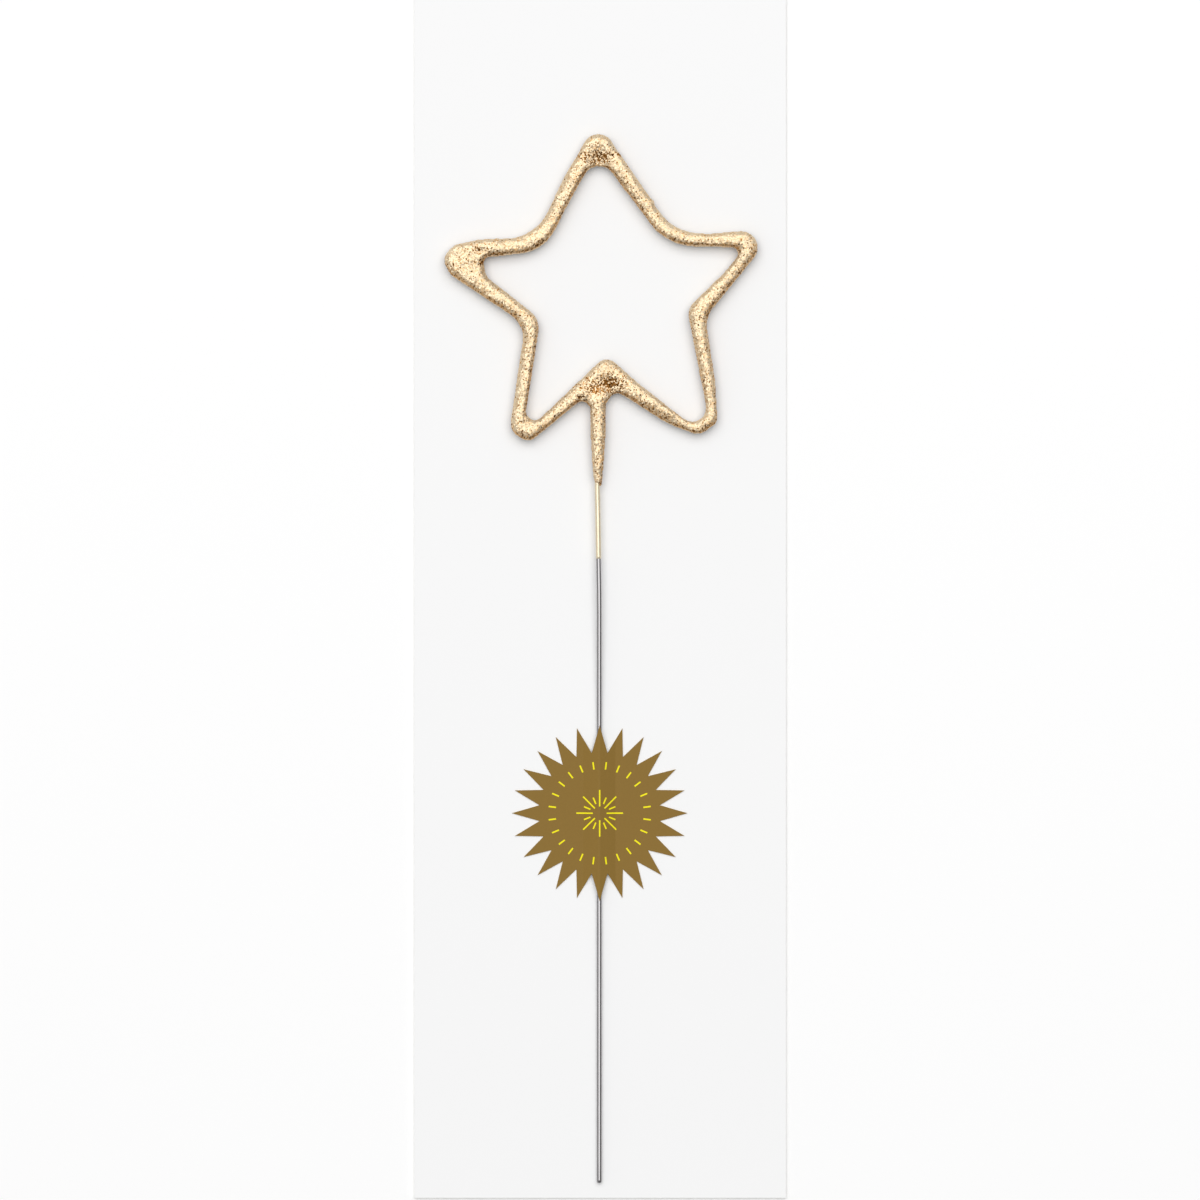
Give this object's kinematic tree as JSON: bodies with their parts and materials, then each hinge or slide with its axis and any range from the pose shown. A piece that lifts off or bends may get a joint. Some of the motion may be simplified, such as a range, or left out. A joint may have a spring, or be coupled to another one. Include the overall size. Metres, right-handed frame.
{
  "type": "party sparkler",
  "caption": "Gold coated star sparkler on a long steel wire, held flat on a white backing card by a burst shaped paper seal.",
  "frame": {"origin": "centre of the card's back face, which rests on the surface", "axes": "+X across the card, +Y up the card from the wire's cut end to the star, +Z out of the card's front"},
  "size_m": [0.07, 0.226, 0.0037],
  "materials": {
    "card_stock": "matt white coated board",
    "seal_paper": "matt printed ochre paper",
    "seal_adhesive": "clear pressure sensitive adhesive",
    "steel_wire": "drawn bright steel wire",
    "sparkler_mix": "granular grey burning mix",
    "gold_lacquer": "granular gold lacquer with metal flake"
  },
  "bodies": {
    "card": {"backing_card": "card_stock", "burst_seal": "seal_paper", "seal_glue": "seal_adhesive"},
    "wand": {"core_wire": "steel_wire", "composition": "sparkler_mix", "gold_lacquer": "gold_lacquer"}
  },
  "joints": [
    {"name": "wand_draw", "type": "slide", "parent": "card", "child": "wand", "axis": [0, 1, 0], "range_m": [0, 0.0855]}
  ]
}
